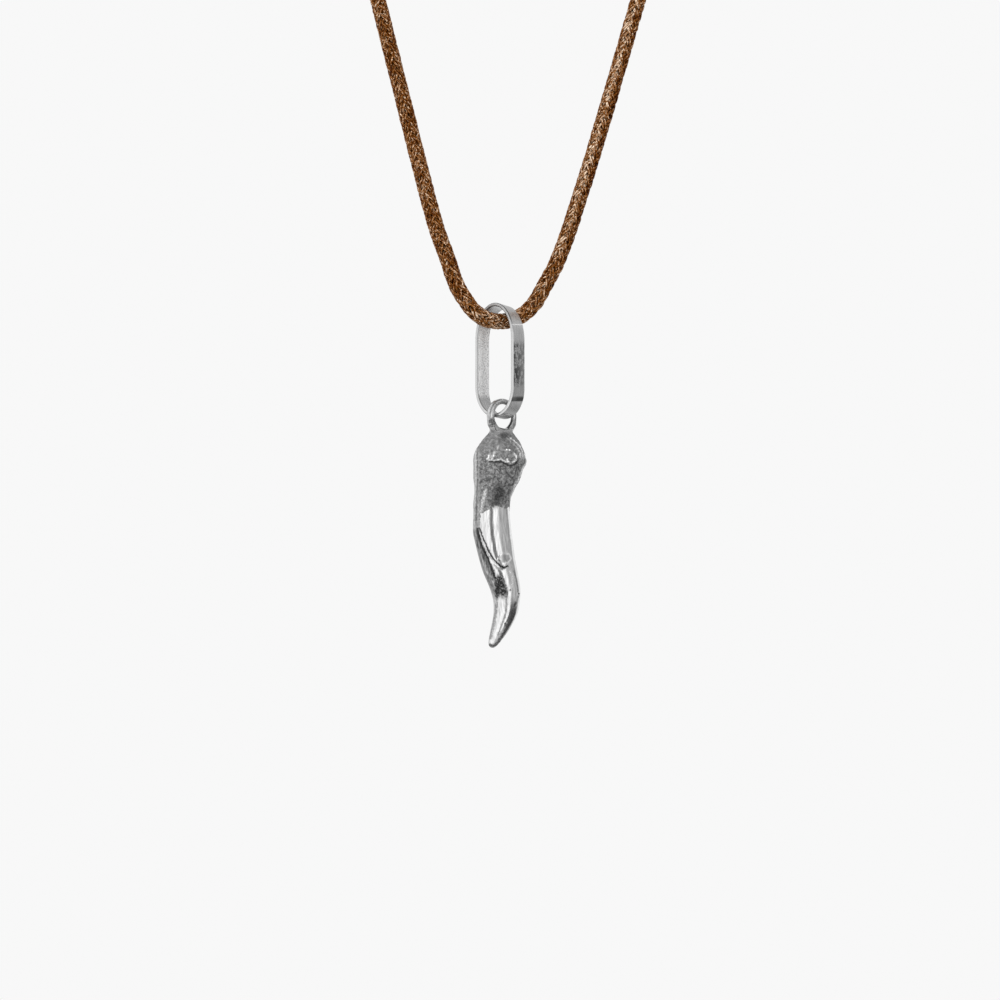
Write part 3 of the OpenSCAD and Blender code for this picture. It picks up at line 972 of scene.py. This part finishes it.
def horn_mesh():
    """The horn with its ring, the relief of its cast skin and the marks of its front, painted highlights and
    painted shade among them.
    """
    mesh, points, normals = horn_skin()
    seen = pixels_of(points)
    seen += MARK_WOBBLE * np.stack([noise_at(points, *kind) for kind in WOBBLE_NOISES], 1)
    x, y = seen.T
    front = 1 - ease(*FRONT_AT, normals[:, 1])
    down = (RING_AT[2] - points[:, 2]) / HORN_LEN
    past_ring = ease(*RING_END, down)
    lumps = noise_at(points, *LUMP_NOISE)
    pits = noise_at(points, *PIT_NOISE)

    behind = CAP_BEHIND_Y + CAP_BEHIND_WAVE * noise_at(points, *BEHIND_NOISE)
    edge = front * np.interp(x, *np.array(CAP_EDGE).T) + (1 - front) * behind
    edge += CAP_EDGE_JITTER * noise_at(points, *JITTER_NOISE)
    flank = front * (1 - ease(*FLANK_X, x)) * ease(*FLANK_Y, y)
    # Painted light: less matte and brighter on the cap's left flank.
    cast = (1 - ease(-CAP_EDGE_HALF, CAP_EDGE_HALF, y - edge)) * (1 - 0.6 * flank)
    cast *= RING_CAST + (1 - RING_CAST) * past_ring
    wrinkles = bell(noise_at(points, *WRINKLE_NOISE), WRINKLE_W) * ease(*WRINKLED_Y, y)
    hollows = np.clip(patches(seen, DARK_PATCHES), 0, 1) * front
    facet = ((x - FACET_AT[0]) / FACET_R[0]) ** 2 + ((y - FACET_AT[1]) / FACET_R[1]) ** 2
    facet_rim = front * bell(facet - 1, FACET_RIM_W)

    lift = np.zeros(len(points))
    for line, half, height in RELIEF:
        reach, _ = line_reach(seen, line)
        lift += front * height * bell(reach, half)
    lift += np.where(x > SHOULDER_X, 1, front) * patches(seen, BUMPS)
    reach, below = line_reach(seen, LEDGE_FRONT)
    lift -= front * UNDERCUT * (below > 0) * np.exp(-reach / UNDERCUT_REACH)
    lift += FACET_RIM_H * facet_rim - FACET_DEPTH * front * np.clip(1 - facet, 0, 1)
    lift += cast * (CAST_LUMPS * lumps + CAST_PITS * pits + CAST_SKIN - WRINKLE_DEPTH * wrinkles)
    lift += (1 - cast) * ease(*NECK_END, down) * BODY_WAVES * noise_at(points, *WAVE_NOISE)
    lift -= hollows * HOLLOW_DEPTH * (1 + pits)
    points += normals * lift[:, None]

    dark = np.maximum.reduce([
        hollows * (1 + 0.5 * pits),
        RING_DARK * (1 - past_ring) * np.clip(1 + pits, 0, 2),
        0.35 * front * ease(0.25, 0.6, 1 - facet),
        0.45 * cast * wrinkles,
    ])
    broken = np.clip(0.95 + 0.9 * pits, 0.25, 1)
    for line, half, strength in DARK_LINES:
        reach, _ = line_reach(seen, line)
        kept = broken if strength < WHOLE_LINE else 1
        dark = np.maximum(dark, front * strength * kept * bell((reach / half) ** 2))
    _, under = line_reach(seen, FOLD_UNDER)
    _, beyond = line_reach(seen, UNDER_EDGE)
    beneath = front * ease(*UNDER_SOFT, under) * between(*UNDER_Y, y)
    beneath *= 0.72 + 0.28 * ease(*UNDER_EDGE_SOFT, -beyond)
    beneath = np.maximum(beneath, (0.3 + 0.4 * ease(*FLANK_DARK_Y, y)) * flank)
    worn = patches(seen, [(at, size, 1) for at, size, height in BUMPS[:BRIGHT_BUMPS]])
    for line, half, strength in WEAR_AND_HIGHLIGHT_LINES:
        reach, _ = line_reach(seen, line)
        worn = np.maximum(worn, front * strength * bell(reach, half))
    worn = worn * np.clip(0.95 + 1.5 * pits, 0.2, 1) + 0.7 * facet_rim * ease(-1, 3, x - FACET_AT[0])
    return make_mesh(
        "horn_charm", points, [tuple(face.vertices) for face in mesh.polygons], cast=cast, under=beneath,
        dark=np.clip(dark, 0, 1), worn=np.clip(worn, 0, 1),
        mottled=np.maximum(1 - front, ease(*MOTTLED_Y, y)),
    )


def cast_material():
    """Cast silver: a rough mottled cap, a polished body with fine scratches, dark in its hollows, with
    painted shade and painted highlights on its front.
    """
    material, tree, shader = new_material("cast_silver")
    cast, dark, worn = (attribute(tree, name) for name in ("cast", "dark", "worn"))
    mottle = grain(tree, 0.26, 5.0, roughness=0.62)
    fine = grain(tree, 0.08)
    lines = grain(tree, 0.25, stretch=(1, 1, 0.08))
    streaks = grain(tree, 0.11, stretch=(1, 1, 0.08))
    threads = grain(tree, 0.45, 2.0)
    matte = ramp(tree, mottle, [(0.35, 0.13), (0.5, 0.27), (0.65, 0.48)])
    cracks = ramp(tree, threads, [(0.465, 1), (0.49, 0.35), (0.51, 0.35), (0.535, 1)])
    matte = mix(tree, 1, matte, cracks, "MULTIPLY")
    matte = mix(tree, attribute(tree, "mottled"), mix(tree, 0.55, 0.2, matte), matte)
    bright = ramp(tree, streaks, [(0.35, 0.66), (0.58, 0.95)])
    hollow = ramp(tree, streaks, [(0.4, 0.08), (0.6, 0.4)])
    bright = mix(tree, attribute(tree, "under"), bright, hollow)
    # Wear and painted highlights turn the colour white.
    body = mix(tree, worn, mix(tree, cast, bright, matte), 1)
    black = ramp(tree, fine, [(0.35, 0.005), (0.7, 0.09)])
    metal = ramp(tree, cast, [(0, 1), (1, 0.5)])
    polished = ramp(tree, lines, [(0.3, 0.07), (0.7, 0.15)])
    grainy = ramp(tree, fine, [(0.3, 0.42), (0.7, 0.6)])
    dull = maths(tree, "MAXIMUM", cast, ramp(tree, dark, [(0.4, 0), (0.8, 1)]))
    strength = maths(tree, "ADD", maths(tree, "MULTIPLY", cast, 0.45), 0.4)
    feed_all(tree, shader, {
        "Base Color": mix(tree, dark, body, black),
        "Metallic": maths(tree, "SUBTRACT", metal, maths(tree, "MULTIPLY", worn, 0.5), clamp=True),
        "Roughness": mix(tree, dull, polished, grainy),
        "Normal": bump(tree, mix(tree, cast, lines, fine), 0.02, strength),
    })
    return material


# The clasp: a turned barrel with rounded rims, a waist, and a blind socket in each end

CLASP_LEN = 15.0
CLASP_D = 3.4
SOCKET_DEPTH = 4.0
SOCKET_PLAY = 0.05
RIM = 0.4
WAIST_W = 0.6
WAIST_CUT = 0.15
WAIST_ROUND = 0.08  # of the waist's inner corners
WAIST_CHAMFER = 0.05  # of its outer corners
MOUTH = 0.12  # of the sockets' widened mouths
MOUTH_ROUND = 0.035
BODY_FROM = 0.4  # where the barrel's rings of points start
BODY_STEPS = 12
SOCKET_STEPS = 6
RIM_POINTS = 8
CLASP_SIDES = 96


def clasp_mesh():
    """The barrel as a turned profile from one socket's floor round the outside to the other's."""
    half, radius = CLASP_LEN / 2, CLASP_D / 2
    waist = WAIST_W / 2
    socket = CORD_D / 2 + SOCKET_PLAY
    floor = half - SOCKET_DEPTH
    body = half - RIM
    mouth = half - MOUTH
    bends = np.linspace(0, math.pi / 2, RIM_POINTS)
    right = [(waist - WAIST_ROUND, radius - WAIST_CUT), (waist, radius - WAIST_CUT + WAIST_ROUND)]
    right += [(waist, radius - WAIST_CHAMFER), (waist + WAIST_CHAMFER, radius)]
    right += [(body - (body - BODY_FROM) * (1 - k / BODY_STEPS), radius) for k in range(1, BODY_STEPS)]
    right += [(body + RIM * math.sin(bend), radius - RIM + RIM * math.cos(bend)) for bend in bends]
    right += [(half, socket + MOUTH), (half - MOUTH_ROUND, socket + MOUTH_ROUND), (mouth, socket)]
    right += [(floor + (mouth - floor) * (1 - k / SOCKET_STEPS), socket) for k in range(1, SOCKET_STEPS + 1)]
    profile = right[::-1] + [(-x, r) for x, r in right]
    turns = turns_of(CLASP_SIDES)
    points = [(x, r * math.cos(t), r * math.sin(t)) for x, r in profile for t in turns]
    return make_mesh("clasp_barrel", points, grid_faces(len(profile), CLASP_SIDES))


def clasp_material():
    """Turned silver: fine rings round the barrel and a soft sheen."""
    material, tree, shader = new_material("turned_silver")
    rings = grain(tree, 0.5, 4.0, stretch=(6, 0.2, 0.2))
    stains = ramp(tree, grain(tree, 1.6), [(0.3, 0.5), (0.7, 0.72)])
    feed_all(tree, shader, {
        "Base Color": mix(tree, rings, stains, 0.85),
        "Metallic": 1,
        "Roughness": ramp(tree, rings, [(0.3, 0.24), (0.7, 0.42)]),
        "Normal": bump(tree, rings, 0.02, 0.4),
    })
    return material


# Light

BACKDROP = (0.938, 0.938, 0.938)
STUDIO = 1.3  # strength of the boxes' light
FLOOR_Z = -500.0
FLOOR_R = 650.0
FLOOR_SIDES = 96
# Each lamp: its way from the charm in metres, watts and width
LAMPS = {"key": ((-0.45, -0.45, 0.55), 3.2, 0.5), "fill": ((0.6, -0.4, 0.1), 2.4, 0.4)}


def make_world():
    """A white background for the camera, and for the rest the soft boxes round it.

    The ramp runs round the object from straight behind, by its left, the camera and its right.
    """
    world = bpy.data.worlds.new("studio")
    bpy.context.scene.world = world
    world.use_nodes = True
    tree = world.node_tree
    tree.nodes.clear()
    place = add(tree, "TexCoord").outputs["Generated"]
    parts = add(tree, "SeparateXYZ", Vector=place).outputs
    ahead = maths(tree, "MULTIPLY", parts["Y"], -1.0)
    turn = maths(tree, "ARCTAN2", parts["X"], ahead)
    share = maths(tree, "ADD", maths(tree, "DIVIDE", turn, 2 * math.pi), 0.5)

    def ring_of_light(*stops):
        closed = [*stops, (180, stops[0][1])]
        return ramp(tree, share, [((degrees + 180) / 360, bright) for degrees, bright in closed])

    level = ring_of_light(
        (-180, 0.7), (-170, 0.35), (-150, 0.5), (-118, 0.45), (-106, 0.85), (-60, 0.68), (-12, 0.85),
        (-8, 0.16), (8, 0.16), (12, 0.85), (36, 0.82), (44, 0.40), (54, 0.32), (66, 0.41), (78, 0.33),
        (92, 0.37), (104, 0.28), (118, 0.28), (135, 0.7), (155, 0.7), (168, 0.35),
    )
    below = ring_of_light(
        (-180, 0.5), (-165, 0.25), (-125, 0.3), (-92, 0.38), (-80, 0.8), (-12, 0.82),
        (-8, 0.5), (8, 0.5), (12, 0.85), (30, 0.8), (38, 0.09), (122, 0.07), (138, 0.3), (165, 0.35),
    )
    above = ring_of_light((-180, 0.5), (-125, 0.4), (-105, 0.85), (-25, 0.85), (-8, 0.35), (90, 0.34))
    height = maths(tree, "ADD", maths(tree, "MULTIPLY", parts["Z"], 0.5), 0.5)
    lit = ring_of_light((-180, 0.3), (-90, 0.5), (0, 0.45), (90, 0.34))
    for low, high, brightness in ((0.08, 0.16, below), (0.27, 0.36, level), (0.59, 0.75, above)):
        lit = mix(tree, ramp(tree, height, [(low, 0), (high, 1)], "EASE"), lit, brightness)
    studio = add(tree, "Background", Color=lit, Strength=STUDIO)
    plain = add(tree, "Background", Color=BACKDROP)
    seen = add(tree, "LightPath").outputs["Is Camera Ray"]
    chosen = add(tree, "MixShader", Fac=seen)
    tree.links.new(studio.outputs[0], chosen.inputs[1])
    tree.links.new(plain.outputs[0], chosen.inputs[2])
    add(tree, "OutputWorld", Surface=chosen.outputs[0])


def make_floor():
    """A plain floor well below the charm, as pale as the background."""
    rim = [(FLOOR_R * math.cos(turn), FLOOR_R * math.sin(turn), FLOOR_Z) for turn in turns_of(FLOOR_SIDES)]
    mesh = make_mesh("floor", rim, [tuple(range(FLOOR_SIDES))])
    material, tree, shader = new_material("pale_floor")
    feed_all(tree, shader, {
        "Base Color": 0, "Specular IOR Level": 0, "Emission Color": BACKDROP, "Emission Strength": 1,
    })
    mesh.materials.append(material)
    floor = new_object("floor", mesh)
    floor.visible_glossy = False
    floor.visible_diffuse = False


def make_lamp(name, way, watts, width):
    """A broad soft lamp, turned to the charm, which the metal doesn't mirror."""
    data = bpy.data.lights.new(name, "AREA")
    data.energy = watts
    data.size = width
    lamp = new_object(name, data)
    lamp.visible_glossy = False
    target = Vector(HANG_AT * MM)
    lamp.location = target + Vector(way)
    lamp.rotation_euler = (target - lamp.location).to_track_quat("-Z", "Y").to_euler()


make_camera()
bpy.context.scene.view_settings.view_transform = "Standard"
make_cord()
make_piece("bail_link", bail_mesh(), strip_material(), "bail", "bail")
make_piece("horn_charm", horn_mesh(), cast_material(), "horn", "horn")
make_piece("clasp_barrel", clasp_mesh(), clasp_material(), "necklace", "clasp")
make_world()
make_floor()
for lamp_name, lamp_sizes in LAMPS.items():
    make_lamp(lamp_name, *lamp_sizes)
